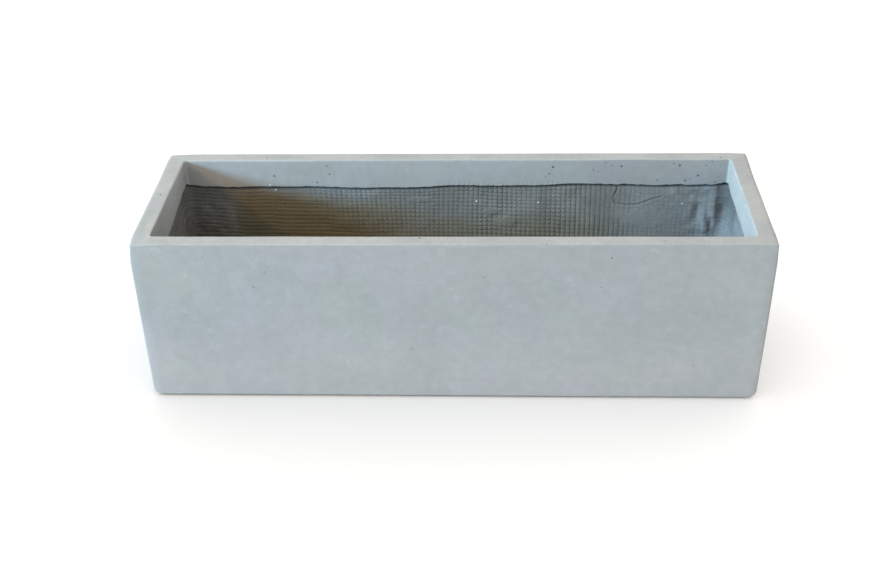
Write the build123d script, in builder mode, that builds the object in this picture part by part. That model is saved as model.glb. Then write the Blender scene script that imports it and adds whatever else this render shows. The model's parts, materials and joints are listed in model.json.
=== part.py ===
from build123d import *
import math
import os

# Self-watering trough planter.
#
# A fibre-cement trough with a sub-irrigation kit low down inside it. Water stands in a tray on the
# trough's floor. A separator plate on legs holds the soil above it, and four perforated cups reach
# down through the plate, so that the soil in them wicks the water up. A fill tube and a float gauge
# stand in the two front corners, and a pull-out overflow riser sets the highest water level.
#
# Millimetres. +X runs along the trough, -Y is its front and +Z is up. The origin is on the ground,
# under the middle of the trough.

os.makedirs("parts", exist_ok=True)

# ---------------------------------------------------------------- driving dimensions
# trough casting
length, width, height = 600.0, 185.0, 175.0
side_rim_width, end_rim_width = 15.5, 18.0
band_depth = 29.0  # of the smooth, thicker band inside the rim
wall = 13.0
floor = 14.0
corner_radius = 4.0
opening_corner = 3.0
cavity_corner = 12.0
cavity_round = 6.0  # between the inner walls and the floor
rim_round = 1.2
base_round = 3.5

# foot pads
foot_radius = 10.0
foot_thickness = 3.0
foot_pocket = 1.0
foot_inset = 26.0

# gaps between pieces
glued_gap = 0.05  # between pieces that are glued or screwed together
push_gap = 0.1  # between pieces that are pushed together
loose_gap = 0.3  # between pieces that lift apart

# reservoir tray
tray_height = 56.0
tray_wall = 2.5
tray_draft = 1.5  # degrees
tray_corner = 14.0
tray_round = 3.0
tray_play = 2.5  # to each side, in the trough's opening
flange_reach = 4.0
flange_thickness = 2.0
leg_boss_height = 4.0
leg_boss_draft = 4.0  # degrees

# drain fitting, through the tray and the trough's floor
stem_radius = 13.0
drain_flange_radius = 20.0
drain_flange_thickness = 3.5
drain_chamfer = 1.0
gasket_thickness = 2.0
nut_across_flats = 38.0
nut_thickness = 6.0
nut_recess_radius = 24.0
nut_recess_depth = 8.0
floor_hole_radius = 15.0
tray_hole_radius = 13.5
socket_radius = 9.5
socket_depth = 11.5
outlet_radius = 8.0

# overflow riser and its strainer
riser_top = 50.0
riser_wall = 2.3
riser_play = 0.2
riser_lead_in = 0.8
ring_rise = 5.0  # of the O-ring above the riser's foot
ring_section = 0.82  # radius of the O-ring's section
ring_gap = 0.03
strainer_wall = 1.8
strainer_skirt = 4.0
strainer_crown = 5.5  # above the riser
strainer_slots = 10
slot_play = 0.5

# separator plate
plate_thickness = 3.0
plate_play = 2.0  # inside the tray flange's outline, to each side
kerb_width = 2.0
kerb_height = 4.0
skirt_depth = 4.0
skirt_wall = 1.6
skirt_play = 0.8
rib_width = 2.0
long_rib = 34.0  # from the middle
cross_ribs = (95.0, 125.0, 201.0)  # from the middle
perforation_radius = 2.5
perforation_pitch = 13.0
perforation_land = 2.0  # least plastic beside a perforation
sleeve_wall = 2.8
sleeve_height = 12.0
spigot_depth = 6.0

# wick cups
cup_count = 4
cup_spacing = 110.0
cup_top_radius = 29.0
cup_base_radius = 20.0
cup_flange_radius = 33.0
cup_flange_thickness = 2.0
cup_wall = 2.0
cup_floor_gap = 2.5
cup_slots = 8
cup_slot_width = 4.0
cup_slot_rise = 6.0
cup_slot_height = 35.0
weep_radius = 2.5
weep_circle = 10.5
weep_count = 6

# support legs
leg_radius = 8.0
leg_wall = 1.7
leg_columns = (-215.0, -110.0, 0.0, 110.0, 215.0)
leg_row = 45.0
leg_arch_width = 5.0
leg_arch_height = 9.0

# fill tube, with a flip cap on its head
fill_x, fill_y = 240.0, -51.0
fill_radius = 12.5
tube_wall = 2.0
bead_width, bead_height = 1.5, 2.0
notch_width, notch_height = 7.0, 9.0
head_top = 147.0
head_radius = 15.0
head_socket = 10.0
head_lip = 6.0
throat_radius = 11.0
cap_thickness = 3.0
plug_radius = 10.3
plug_depth = 3.0
plug_wall = 1.6
seal_inner, seal_outer, seal_thickness = 11.2, 13.6, 1.0
hinge_reach = 18.2  # from the tube's axis to the hinge pin
hinge_rise = 1.2  # of the pin above the head
knuckle_radius = 2.7
knuckle_half = 3.7
ear_inner, ear_outer = 4.0, 7.0
ear_drop = 11.0
pin_radius = 1.05
pin_head = 0.7
pin_play = 0.08
tab_length, tab_width = 14.0, 8.0

# float gauge
gauge_x, gauge_y = -240.0, -51.0
gauge_radius = 11.0
gauge_wall = 1.8
gauge_slots = 6
gauge_slot_width = 3.0
gauge_slot_height = 30.0
float_ledge = 1.8
window_base = 120.0
window_top = 153.5
window_wall = 1.6
window_round = 4.0
window_lap = 0.5  # of the step that carries the window
collar_wall = 2.2
collar_below, collar_above = 8.0, 6.0
float_radius = 8.5
float_height = 18.0
float_chamfer = 1.5
rod_radius = 1.4
rod_socket = 6.0
marker_radius = 6.0
marker_height = 4.0
guide_height = 104.0
guide_thickness = 3.0
guide_vent_radius, guide_vent_circle = 2.0, 5.4

# ---------------------------------------------------------------- levels and places worked out
casting_base = foot_thickness - foot_pocket
rim_top = casting_base + height
floor_top = casting_base + floor
band_base = rim_top - band_depth
opening_length = length - 2 * end_rim_width
opening_width = width - 2 * side_rim_width

flange_length = opening_length - 2 * tray_play
flange_width = opening_width - 2 * tray_play
tray_length = flange_length - 2 * flange_reach
tray_width = flange_width - 2 * flange_reach
tray_top = floor_top + tray_height
tray_floor = floor_top + tray_wall

gasket_top = tray_floor + gasket_thickness
drain_top = gasket_top + drain_flange_thickness
socket_base = drain_top - socket_depth
outlet_base = casting_base + drain_chamfer
riser_radius = socket_radius - riser_play
riser_base = socket_base + riser_play

plate_top = tray_top + plate_thickness
plate_length = flange_length - 2 * plate_play
plate_width = flange_width - 2 * plate_play
sleeve_top = plate_top + sleeve_height
bead_top = sleeve_top + bead_height
leg_bore = leg_radius - leg_wall

hinge_x = fill_x + hinge_reach
hinge_z = head_top + hinge_rise
gauge_bore = gauge_radius - gauge_wall

cup_places = [(cup_spacing * (i - (cup_count - 1) / 2), 0.0) for i in range(cup_count)]
leg_places = [(x, y) for y in (-leg_row, leg_row) for x in leg_columns]
foot_x, foot_y = length / 2 - foot_inset, width / 2 - foot_inset
foot_places = {
    "front_left_foot": (-foot_x, -foot_y),
    "front_right_foot": (foot_x, -foot_y),
    "back_left_foot": (-foot_x, foot_y),
    "back_right_foot": (foot_x, foot_y),
}
tube_places = ((fill_x, fill_y, fill_radius), (gauge_x, gauge_y, gauge_radius))


# ---------------------------------------------------------------- helpers
def upright(x, y):
    """The plane of a section through the upright line at x, y: its own y runs up."""
    return Plane((x, y, 0), x_dir=(1, 0, 0), z_dir=(0, -1, 0))


def turned(points, x=0.0, y=0.0):
    """Adds the solid that an outline of (radius, height) points makes about the upright line at x, y."""
    with BuildSketch(upright(x, y)) as section:
        with BuildLine():
            Polyline(*points, close=True)
        make_face()
    revolve(section.sketch, axis=Axis((x, y, 0), (0, 0, 1)))


def washer(inner, outer, low, high):
    """The outline of a plain ring."""
    return [(inner, low), (outer, low), (outer, high), (inner, high)]


def save(piece, name):
    """Labels a finished piece and writes its STEP file."""
    piece.part.label = name
    export_step(piece.part, f"parts/{name}.step")


# ---------------------------------------------------------------- trough casting
with BuildPart() as planter_shell:
    with BuildSketch(Plane.XY.offset(casting_base)):
        RectangleRounded(length, width, corner_radius)
    extrude(amount=height)
    fillet(planter_shell.faces().sort_by(Axis.Z)[0].edges(), base_round)
    fillet(planter_shell.faces().sort_by(Axis.Z)[-1].edges(), rim_round)
    # the rough cavity below the band
    with BuildSketch(Plane.XY.offset(floor_top)):
        RectangleRounded(length - 2 * wall, width - 2 * wall, cavity_corner)
    extrude(amount=band_base - floor_top, mode=Mode.SUBTRACT)
    level_faces = planter_shell.faces().filter_by(Plane.XY)
    cavity_floor = level_faces.filter_by_position(Axis.Z, floor_top - 1, floor_top + 1)
    fillet(cavity_floor.edges(), cavity_round)
    # the opening inside the rim
    with BuildSketch(Plane.XY.offset(band_base)):
        RectangleRounded(opening_length, opening_width, opening_corner)
    extrude(amount=band_depth, mode=Mode.SUBTRACT)
    fillet(planter_shell.faces().sort_by(Axis.Z)[-1].inner_wires().edges(), rim_round)
    # drain hole, with a recess under the floor for the locknut
    with BuildSketch(Plane.XY.offset(casting_base)):
        Circle(floor_hole_radius)
    extrude(amount=floor, mode=Mode.SUBTRACT)
    with BuildSketch(Plane.XY.offset(casting_base)):
        Circle(nut_recess_radius)
    extrude(amount=nut_recess_depth, mode=Mode.SUBTRACT)
    # shallow pockets that the foot pads are glued into
    with BuildSketch(Plane.XY.offset(casting_base)):
        with Locations(*foot_places.values()):
            Circle(foot_radius + loose_gap)
    extrude(amount=foot_pocket, mode=Mode.SUBTRACT)
save(planter_shell, "planter_shell")

# ---------------------------------------------------------------- foot pads
for name, (x, y) in foot_places.items():
    with BuildPart() as foot:
        with BuildSketch():
            with Locations((x, y)):
                Circle(foot_radius)
        extrude(amount=foot_thickness)
        fillet(foot.edges().sort_by(Axis.Z)[0], foot_thickness / 6)
    save(foot, name)

# ---------------------------------------------------------------- reservoir tray
draft_spread = 2 * tray_height * math.tan(math.radians(tray_draft))
base_length = tray_length - draft_spread
base_width = tray_width - draft_spread
with BuildPart() as reservoir_tray:
    with BuildSketch(Plane.XY.offset(floor_top)):
        RectangleRounded(base_length, base_width, tray_corner)
    extrude(amount=tray_height, taper=-tray_draft)
    fillet(reservoir_tray.faces().sort_by(Axis.Z)[0].edges(), tray_round)
    with BuildSketch(Plane.XY.offset(tray_top - flange_thickness)):
        RectangleRounded(flange_length, flange_width, tray_corner + flange_reach)
    extrude(amount=flange_thickness)
    with BuildSketch(Plane.XY.offset(tray_floor)):
        RectangleRounded(base_length - 2 * tray_wall, base_width - 2 * tray_wall, tray_corner - tray_wall)
    extrude(amount=tray_height, taper=-tray_draft, mode=Mode.SUBTRACT)
    # bosses that the support legs stand over
    with BuildSketch(Plane.XY.offset(tray_floor)):
        with Locations(*leg_places):
            Circle(leg_bore - loose_gap)
    extrude(amount=leg_boss_height, taper=leg_boss_draft)
    with BuildSketch(Plane.XY.offset(floor_top)):
        Circle(tray_hole_radius)
    extrude(amount=tray_wall, mode=Mode.SUBTRACT)
save(reservoir_tray, "reservoir_tray")

# ---------------------------------------------------------------- drain fitting
with BuildPart() as drain_gasket:
    turned(washer(stem_radius + push_gap, drain_flange_radius, tray_floor, gasket_top))
save(drain_gasket, "drain_gasket")

with BuildPart() as drain_fitting:
    turned(
        [
            (outlet_radius, outlet_base),
            (stem_radius - drain_chamfer, outlet_base),
            (stem_radius, outlet_base + drain_chamfer),
            (stem_radius, gasket_top),
            (drain_flange_radius, gasket_top),
            (drain_flange_radius, drain_top - drain_chamfer),
            (drain_flange_radius - drain_chamfer, drain_top),
            (socket_radius, drain_top),
            (socket_radius, socket_base),
            (outlet_radius, socket_base),
        ]
    )
save(drain_fitting, "drain_fitting")

with BuildPart() as drain_locknut:
    with BuildSketch(Plane.XY.offset(casting_base + nut_recess_depth - nut_thickness)):
        RegularPolygon(nut_across_flats / 2, 6, major_radius=False)
        Circle(stem_radius + glued_gap, mode=Mode.SUBTRACT)
    extrude(amount=nut_thickness)
    chamfer(drain_locknut.faces().sort_by(Axis.Z)[0].outer_wire().edges(), drain_chamfer)
save(drain_locknut, "drain_locknut")

# ---------------------------------------------------------------- overflow riser
ring_level = riser_base + ring_rise
ring_inner = socket_radius - ring_gap - 2 * ring_section
groove_radius = ring_inner - ring_gap / 2
groove_low, groove_high = ring_level - 1.3 * ring_section, ring_level + 1.3 * ring_section
with BuildPart() as overflow_riser:
    turned(
        [
            (riser_radius - riser_wall, riser_base),
            (riser_radius - riser_lead_in, riser_base),
            (riser_radius, riser_base + riser_lead_in),
            (riser_radius, groove_low),
            (groove_radius, groove_low),
            (groove_radius, groove_high),
            (riser_radius, groove_high),
            (riser_radius, riser_top),
            (riser_radius - riser_wall, riser_top),
        ]
    )
save(overflow_riser, "overflow_riser")

with BuildPart() as riser_o_ring:
    with BuildSketch(upright(0, 0)):
        with Locations((ring_inner + ring_section, ring_level)):
            Circle(ring_section)
    revolve(axis=Axis.Z)
save(riser_o_ring, "riser_o_ring")

strainer_radius = riser_radius + strainer_wall
strainer_ledge = riser_radius - strainer_wall
strainer_top = riser_top + strainer_crown
strainer_ceiling = strainer_top - strainer_wall
with BuildPart() as riser_strainer:
    turned(
        [
            (riser_radius + glued_gap, riser_top - strainer_skirt),
            (strainer_radius, riser_top - strainer_skirt),
            (strainer_radius, strainer_top - strainer_wall),
            (strainer_radius - strainer_wall, strainer_top),
            (0, strainer_top),
            (0, strainer_ceiling),
            (strainer_ledge, strainer_ceiling),
            (strainer_ledge, riser_top),
            (riser_radius + glued_gap, riser_top),
        ]
    )
    with BuildSketch(Plane.XY.offset(riser_top + slot_play)):
        with PolarLocations(strainer_radius, strainer_slots):
            Rectangle(strainer_radius, rib_width)
    extrude(amount=strainer_ceiling - riser_top - 2 * slot_play, mode=Mode.SUBTRACT)
save(riser_strainer, "riser_strainer")


# ---------------------------------------------------------------- separator plate
def perforations():
    """Grid points for the plate's air holes, clear of its cups, legs, sleeves, ribs and edge."""
    reach = perforation_radius + perforation_land
    kept_clear = [(x, y, cup_flange_radius) for x, y in cup_places]
    kept_clear += [(x, y, leg_radius) for x, y in leg_places]
    kept_clear += [(x, y, radius + sleeve_wall) for x, y, radius in tube_places]
    edge = tray_corner + perforation_land
    columns = int((plate_length / 2 - edge) // perforation_pitch)
    rows = int((plate_width / 2 - edge) // perforation_pitch)
    for x in [perforation_pitch * i for i in range(-columns, columns + 1)]:
        for y in [perforation_pitch * i for i in range(-rows, rows + 1)]:
            rib_gaps = [abs(abs(y) - long_rib)] + [abs(abs(x) - rib) for rib in cross_ribs]
            piece_gaps = [math.hypot(x - cx, y - cy) - radius for cx, cy, radius in kept_clear]
            if min(rib_gaps) >= perforation_radius + rib_width / 2 and min(piece_gaps) > reach:
                yield x, y


skirt_length = tray_length - 2 * tray_wall - 2 * skirt_play
skirt_width = tray_width - 2 * tray_wall - 2 * skirt_play
skirt_corner = tray_corner - tray_wall
with BuildPart() as separator_plate:
    with BuildSketch(Plane.XY.offset(tray_top)):
        RectangleRounded(plate_length, plate_width, tray_corner)
        with Locations(*cup_places):
            Circle(cup_top_radius + loose_gap, mode=Mode.SUBTRACT)
        with Locations(*perforations()):
            Circle(perforation_radius, mode=Mode.SUBTRACT)
    extrude(amount=plate_thickness)
    # kerb round the edge
    with BuildSketch(Plane.XY.offset(plate_top)):
        RectangleRounded(plate_length, plate_width, tray_corner)
        offset(amount=-kerb_width, mode=Mode.SUBTRACT)
    extrude(amount=kerb_height)
    # skirt and ribs underneath
    with BuildSketch(Plane.XY.offset(tray_top - skirt_depth)):
        RectangleRounded(skirt_length, skirt_width, skirt_corner)
        offset(amount=-skirt_wall, mode=Mode.SUBTRACT)
        with Locations((0, -long_rib), (0, long_rib)):
            Rectangle(skirt_length - skirt_wall, rib_width)
        with Locations(*[(side * x, 0) for x in cross_ribs for side in (-1, 1)]):
            Rectangle(rib_width, skirt_width - skirt_wall)
    extrude(amount=skirt_depth)
    # spigots that the support legs are pushed onto
    with BuildSketch(Plane.XY.offset(tray_top - spigot_depth)):
        with Locations(*leg_places):
            Circle(leg_bore - push_gap)
    extrude(amount=spigot_depth)
    # sleeves that hold the two tubes
    for x, y, radius in tube_places:
        with BuildSketch(Plane.XY.offset(plate_top)):
            with Locations((x, y)):
                Circle(radius + sleeve_wall)
        extrude(amount=sleeve_height)
        with BuildSketch(Plane.XY.offset(tray_top)):
            with Locations((x, y)):
                Circle(radius + push_gap)
        extrude(amount=plate_thickness + sleeve_height, mode=Mode.SUBTRACT)
save(separator_plate, "separator_plate")

# ---------------------------------------------------------------- wick cups
cup_base = tray_floor + cup_floor_gap
cup_rim = plate_top + cup_flange_thickness
flange_edge = cup_flange_thickness / 2
for number, (x, y) in enumerate(cup_places, 1):
    with BuildPart() as wick_cup:
        turned(
            [
                (0, cup_base),
                (cup_base_radius, cup_base),
                (cup_top_radius, plate_top),
                (cup_flange_radius, plate_top),
                (cup_flange_radius, cup_rim - flange_edge),
                (cup_flange_radius - flange_edge, cup_rim),
                (cup_top_radius - cup_wall, cup_rim),
                (cup_base_radius - cup_wall, cup_base + cup_wall),
                (0, cup_base + cup_wall),
            ],
            x,
            y,
        )
        # slots in the side, and weep holes in the bottom
        with BuildSketch(Plane.XY.offset(cup_base + cup_slot_rise)):
            with Locations((x, y)):
                with PolarLocations(cup_top_radius, cup_slots):
                    Rectangle(cup_top_radius, cup_slot_width)
        extrude(amount=cup_slot_height, mode=Mode.SUBTRACT)
        with BuildSketch(Plane.XY.offset(cup_base)):
            with Locations((x, y)):
                Circle(weep_radius)
                with PolarLocations(weep_circle, weep_count):
                    Circle(weep_radius)
        extrude(amount=cup_wall, mode=Mode.SUBTRACT)
    save(wick_cup, f"wick_cup_{number}")

# ---------------------------------------------------------------- support legs
leg_base = tray_floor + loose_gap
for number, (x, y) in enumerate(leg_places, 1):
    with BuildPart() as support_leg:
        with BuildSketch(Plane.XY.offset(leg_base)):
            with Locations((x, y)):
                Circle(leg_radius)
                Circle(leg_bore, mode=Mode.SUBTRACT)
        extrude(amount=tray_top - leg_base)
        # arches that let the water in
        with BuildSketch(upright(x, y)):
            with Locations((0, leg_base)):
                SlotOverall(2 * leg_arch_height, leg_arch_width, rotation=90)
        extrude(amount=2 * leg_radius, both=True, mode=Mode.SUBTRACT)
    save(support_leg, f"support_leg_{number}")

# ---------------------------------------------------------------- fill tube
fill_base = tray_floor + gasket_thickness
tube_top = head_top - head_lip
fill_bore = fill_radius - tube_wall
with BuildPart() as fill_tube:
    turned(
        [
            (fill_bore, fill_base),
            (fill_radius, fill_base),
            (fill_radius, sleeve_top),
            (fill_radius + bead_width, sleeve_top),
            (fill_radius + bead_width, bead_top),
            (fill_radius, bead_top),
            (fill_radius, tube_top),
            (fill_bore, tube_top),
        ],
        fill_x,
        fill_y,
    )
    # notches in the foot, for the water to run out
    with BuildSketch(Plane.XY.offset(fill_base)):
        with Locations((fill_x, fill_y)):
            Rectangle(3 * fill_radius, notch_width)
            Rectangle(notch_width, 3 * fill_radius)
    extrude(amount=notch_height, mode=Mode.SUBTRACT)
save(fill_tube, "fill_tube")

socket_foot = tube_top - head_socket
socket_bore = fill_radius + glued_gap
socket_edge = 0.8
ear_root = head_radius - 1.5
ear_face = head_radius + 0.5
ear_edge = hinge_reach + knuckle_radius
with BuildPart() as filler_head:
    turned(
        [
            (socket_bore, socket_foot),
            (head_radius - socket_edge, socket_foot),
            (head_radius, socket_foot + socket_edge),
            (head_radius, head_top),
            (throat_radius, head_top),
            (throat_radius, tube_top),
            (socket_bore, tube_top),
        ],
        fill_x,
        fill_y,
    )
    # a pair of ears for the cap's hinge, which grow out of the head's side
    with BuildSketch(upright(fill_x, fill_y)):
        with Locations((hinge_reach, hinge_z)):
            Circle(knuckle_radius)
        with BuildLine():
            Polyline(
                (ear_root, head_top - ear_drop),
                (ear_edge, head_top - ear_drop / 2),
                (ear_edge, hinge_z),
                (ear_face, hinge_z),
                (ear_face, head_top - 0.5),
                (ear_root, head_top - 0.5),
                close=True,
            )
        make_face()
    extrude(amount=ear_outer, both=True)
    # the gap between the ears
    gap_depth = knuckle_radius + 0.7
    with BuildSketch(upright(fill_x, fill_y)):
        with Locations((head_radius + 0.2, hinge_z - gap_depth)):
            Rectangle(4 * knuckle_radius, 4 * knuckle_radius, align=(Align.MIN, Align.MIN))
    extrude(amount=ear_inner, both=True, mode=Mode.SUBTRACT)
    with BuildSketch(upright(fill_x, fill_y)):
        with Locations((hinge_reach, hinge_z)):
            Circle(pin_radius + pin_play / 4)
    extrude(amount=2 * ear_outer, both=True, mode=Mode.SUBTRACT)
save(filler_head, "filler_head")

pin_half = ear_outer + loose_gap
with BuildPart() as cap_hinge_pin:
    with BuildSketch(upright(hinge_x, fill_y)):
        with Locations((0, hinge_z)):
            Circle(pin_radius)
    extrude(amount=pin_half, both=True)
    for side in (-1, 1):
        with BuildSketch(upright(hinge_x, fill_y).offset(side * pin_half)):
            with Locations((0, hinge_z)):
                Circle(pin_radius + pin_head)
        extrude(amount=side * pin_head)
save(cap_hinge_pin, "cap_hinge_pin")

plug_base = head_top - plug_depth
plug_edge = 0.5
cap_top = head_top + cap_thickness
seal_top = head_top + seal_thickness
with BuildPart() as filler_cap:
    turned(
        [
            (0, head_top),
            (plug_radius - plug_wall, head_top),
            (plug_radius - plug_wall, plug_base),
            (plug_radius - plug_edge, plug_base),
            (plug_radius, plug_base + plug_edge),
            (plug_radius, head_top),
            (seal_inner, head_top),
            (seal_inner, seal_top),
            (seal_outer, seal_top),
            (seal_outer, head_top),
            (head_radius, head_top),
            (head_radius, cap_top - 1),
            (head_radius - 1, cap_top),
            (0, cap_top),
        ],
        fill_x,
        fill_y,
    )
    # hinge knuckle and its neck
    with BuildSketch(upright(fill_x, fill_y)):
        with Locations((hinge_reach, hinge_z)):
            Circle(knuckle_radius)
        with Locations((hinge_reach, seal_top)):
            Rectangle(hinge_reach - seal_outer + 1, cap_top - seal_top, align=(Align.MAX, Align.MIN))
    extrude(amount=knuckle_half, both=True)
    with BuildSketch(upright(fill_x, fill_y)):
        with Locations((hinge_reach, hinge_z)):
            Circle(pin_radius + pin_play)
    extrude(amount=2 * knuckle_half, both=True, mode=Mode.SUBTRACT)
    # thumb tab
    with BuildSketch(Plane.XY.offset(seal_top)):
        with Locations((fill_x - head_radius, fill_y)):
            SlotOverall(tab_length, tab_width, rotation=90)
    extrude(amount=cap_top - seal_top)
save(filler_cap, "filler_cap")

with BuildPart() as cap_gasket:
    turned(washer(seal_inner + glued_gap, seal_outer - glued_gap, head_top, seal_top), fill_x, fill_y)
save(cap_gasket, "cap_gasket")

# ---------------------------------------------------------------- float gauge
gauge_base = tray_floor + 1
ledge_top = gauge_base + 1.3
float_base = ledge_top + 0.2
float_top = float_base + float_height
tube_end = window_base - window_lap
with BuildPart() as gauge_tube:
    turned(
        [
            (gauge_bore - float_ledge, gauge_base),
            (gauge_radius, gauge_base),
            (gauge_radius, sleeve_top),
            (gauge_radius + bead_width, sleeve_top),
            (gauge_radius + bead_width, bead_top),
            (gauge_radius, bead_top),
            (gauge_radius, tube_end),
            (gauge_bore, tube_end),
            (gauge_bore, ledge_top),
            (gauge_bore - float_ledge, ledge_top),
        ],
        gauge_x,
        gauge_y,
    )
    # slots that let the water in
    with BuildSketch(Plane.XY.offset(ledge_top + gauge_slot_width)):
        with Locations((gauge_x, gauge_y)):
            with PolarLocations(gauge_radius, gauge_slots):
                Rectangle(gauge_bore, gauge_slot_width)
    extrude(amount=gauge_slot_height, mode=Mode.SUBTRACT)
save(gauge_tube, "gauge_tube")

with BuildPart() as rod_guide:
    with BuildSketch(Plane.XY.offset(guide_height)):
        with Locations((gauge_x, gauge_y)):
            Circle(gauge_bore - glued_gap)
            Circle(rod_radius + loose_gap, mode=Mode.SUBTRACT)
            with PolarLocations(guide_vent_circle, 3):
                Circle(guide_vent_radius, mode=Mode.SUBTRACT)
    extrude(amount=guide_thickness)
save(rod_guide, "rod_guide")

collar_bore = gauge_radius + glued_gap
collar_radius = gauge_radius + collar_wall
collar_foot, collar_head = window_base - collar_below, window_base + collar_above
step_low, step_high = window_base - window_lap, window_base + window_lap
with BuildPart() as gauge_collar:
    turned(
        [
            (collar_bore, collar_foot),
            (collar_radius, collar_foot),
            (collar_radius, collar_head - 1),
            (collar_radius - 1, collar_head),
            (collar_bore, collar_head),
            (collar_bore, step_high),
            (gauge_bore + 4 * glued_gap, step_high),
            (gauge_bore + 4 * glued_gap, step_low),
            (collar_bore, step_low),
        ],
        gauge_x,
        gauge_y,
    )
save(gauge_collar, "gauge_collar")

window_bore = gauge_radius - window_wall
window_ceiling = window_top - window_wall
shoulder = 0.3 * window_round
with BuildPart() as gauge_window:
    turned(
        [
            (window_bore, step_high),
            (gauge_radius, step_high),
            (gauge_radius, window_top - window_round),
            (gauge_radius - shoulder, window_top - shoulder),
            (gauge_radius - window_round, window_top),
            (0, window_top),
            (0, window_ceiling),
            (window_bore + window_wall - window_round, window_ceiling),
            (window_bore, window_top - window_round),
        ],
        gauge_x,
        gauge_y,
    )
save(gauge_window, "gauge_window")

with BuildPart() as gauge_float:
    turned(
        [
            (0, float_base),
            (float_radius - float_chamfer, float_base),
            (float_radius, float_base + float_chamfer),
            (float_radius, float_top - float_chamfer),
            (float_radius - float_chamfer, float_top),
            (rod_radius, float_top),
            (rod_radius, float_top - rod_socket),
            (0, float_top - rod_socket),
        ],
        gauge_x,
        gauge_y,
    )
save(gauge_float, "gauge_float")

marker_base = window_base + float_chamfer
with BuildPart() as gauge_rod:
    with BuildSketch(Plane.XY.offset(float_top - rod_socket)):
        with Locations((gauge_x, gauge_y)):
            Circle(rod_radius)
    extrude(amount=marker_base - float_top + rod_socket)
save(gauge_rod, "gauge_rod")

with BuildPart() as gauge_marker:
    with BuildSketch(Plane.XY.offset(marker_base)):
        with Locations((gauge_x, gauge_y)):
            Circle(marker_radius)
    extrude(amount=marker_height)
    chamfer(gauge_marker.faces().filter_by(Plane.XY).edges(), marker_height / 4)
save(gauge_marker, "gauge_marker")
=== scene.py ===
"""The looks of a self-watering trough planter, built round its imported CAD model.

Metres, with +Z up and -Y to the front.
"""

import json
import math

import bpy
import numpy as np
from mathutils import Matrix, Vector


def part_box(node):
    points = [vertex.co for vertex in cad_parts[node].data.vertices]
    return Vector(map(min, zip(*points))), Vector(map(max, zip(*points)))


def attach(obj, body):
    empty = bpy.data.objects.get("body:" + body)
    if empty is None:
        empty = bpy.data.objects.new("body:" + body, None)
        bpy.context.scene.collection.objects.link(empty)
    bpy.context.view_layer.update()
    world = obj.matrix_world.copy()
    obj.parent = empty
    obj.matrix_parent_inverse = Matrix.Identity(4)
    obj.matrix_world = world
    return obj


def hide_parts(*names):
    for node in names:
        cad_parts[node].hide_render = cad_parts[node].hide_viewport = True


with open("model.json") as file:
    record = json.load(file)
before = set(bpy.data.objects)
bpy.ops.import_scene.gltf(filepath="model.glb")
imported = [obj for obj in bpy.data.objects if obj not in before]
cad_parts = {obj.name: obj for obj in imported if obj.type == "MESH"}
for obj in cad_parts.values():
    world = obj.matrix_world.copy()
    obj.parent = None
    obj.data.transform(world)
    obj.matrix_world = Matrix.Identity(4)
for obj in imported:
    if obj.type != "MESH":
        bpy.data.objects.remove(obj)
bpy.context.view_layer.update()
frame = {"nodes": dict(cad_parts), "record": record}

MM = 0.001

# ---------------------------------------------------------------- the casting's sizes
shell_low, shell_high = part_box("planter_shell")
half_length = shell_high.x
half_width = shell_high.y
base_z = shell_low.z
rim_z = shell_high.z
side_rim = 15.5 * MM
end_rim = 18 * MM
band_depth = 29 * MM  # the smooth band below the rim ends in a lip
wall = 13 * MM  # below the lip
floor_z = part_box("reservoir_tray")[0].z
lip_z = rim_z - band_depth
corner_radius = 2.5 * MM
side_round = 1 * MM  # along the bottom of the sides
end_round = 7.5 * MM  # along the bottom of the ends
outer_arris = 1.3 * MM  # the small roundings along the rim's edges
inner_arris = 0.8 * MM
opening_corner = 3 * MM
cavity_corner = 12 * MM
cavity_round = 6 * MM  # between the inner walls and the floor
drain_radius = 15 * MM
recess_radius = 24 * MM  # of the pocket for the locknut, under the floor
recess_depth = 8 * MM
thread_pitch = 5.12 * MM  # of the upright threads of the mesh that has left its print inside
weft_pitch = 4.75 * MM  # of the mesh's level threads
groove_depth = 0.28 * MM  # how deep the mesh is pressed into the back wall
fine_bottom = 84 * MM  # above this the inner wall is meshed finely


# ---------------------------------------------------------------- smooth noise, the same in every run
# large odd numbers, so that neighbouring places give quite different hashes
HASH_X, HASH_Y, HASH_Z, HASH_SEED = 374761393, 668265263, 2147483647, 1274126177


def lattice(ix, iy, iz, seed):
    """A number from 0 to 1 for each whole-number lattice point, by hashing."""
    mixed = ix * HASH_X + iy * HASH_Y + iz * HASH_Z + seed * HASH_SEED
    mixed = (mixed ^ (mixed >> 13)) * HASH_SEED
    mixed = mixed ^ (mixed >> 16)
    return (mixed & 0xFFFFFF) / float(0xFFFFFF)


def noise(points, size, seed):
    """Value noise from -1 to 1 with features of about `size`, at points of shape (..., 3)."""
    scaled = points / size
    whole = np.floor(scaled).astype(np.int64)
    part = scaled - whole
    part = part * part * (3 - 2 * part)
    total = 0
    for dx in (0, 1):
        for dy in (0, 1):
            for dz in (0, 1):
                weight = (
                    (part[..., 0] if dx else 1 - part[..., 0])
                    * (part[..., 1] if dy else 1 - part[..., 1])
                    * (part[..., 2] if dz else 1 - part[..., 2])
                )
                total = total + weight * lattice(
                    whole[..., 0] + dx, whole[..., 1] + dy, whole[..., 2] + dz, seed
                )
    return 2 * total - 1


def smoothstep(low, high, value):
    """From 0 at `low` to 1 at `high`, with no kink at either. `low` may be the larger."""
    t = np.clip((value - low) / (high - low), 0, 1)
    return t * t * (3 - 2 * t)


# ---------------------------------------------------------------- the casting's mesh
SIDE_STEPS = (240, 81, 450, 81)  # fine columns along the front, right, back and left
CORNER_STEPS = 9
THINNING = 3  # fine columns to each coarse one


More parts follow.
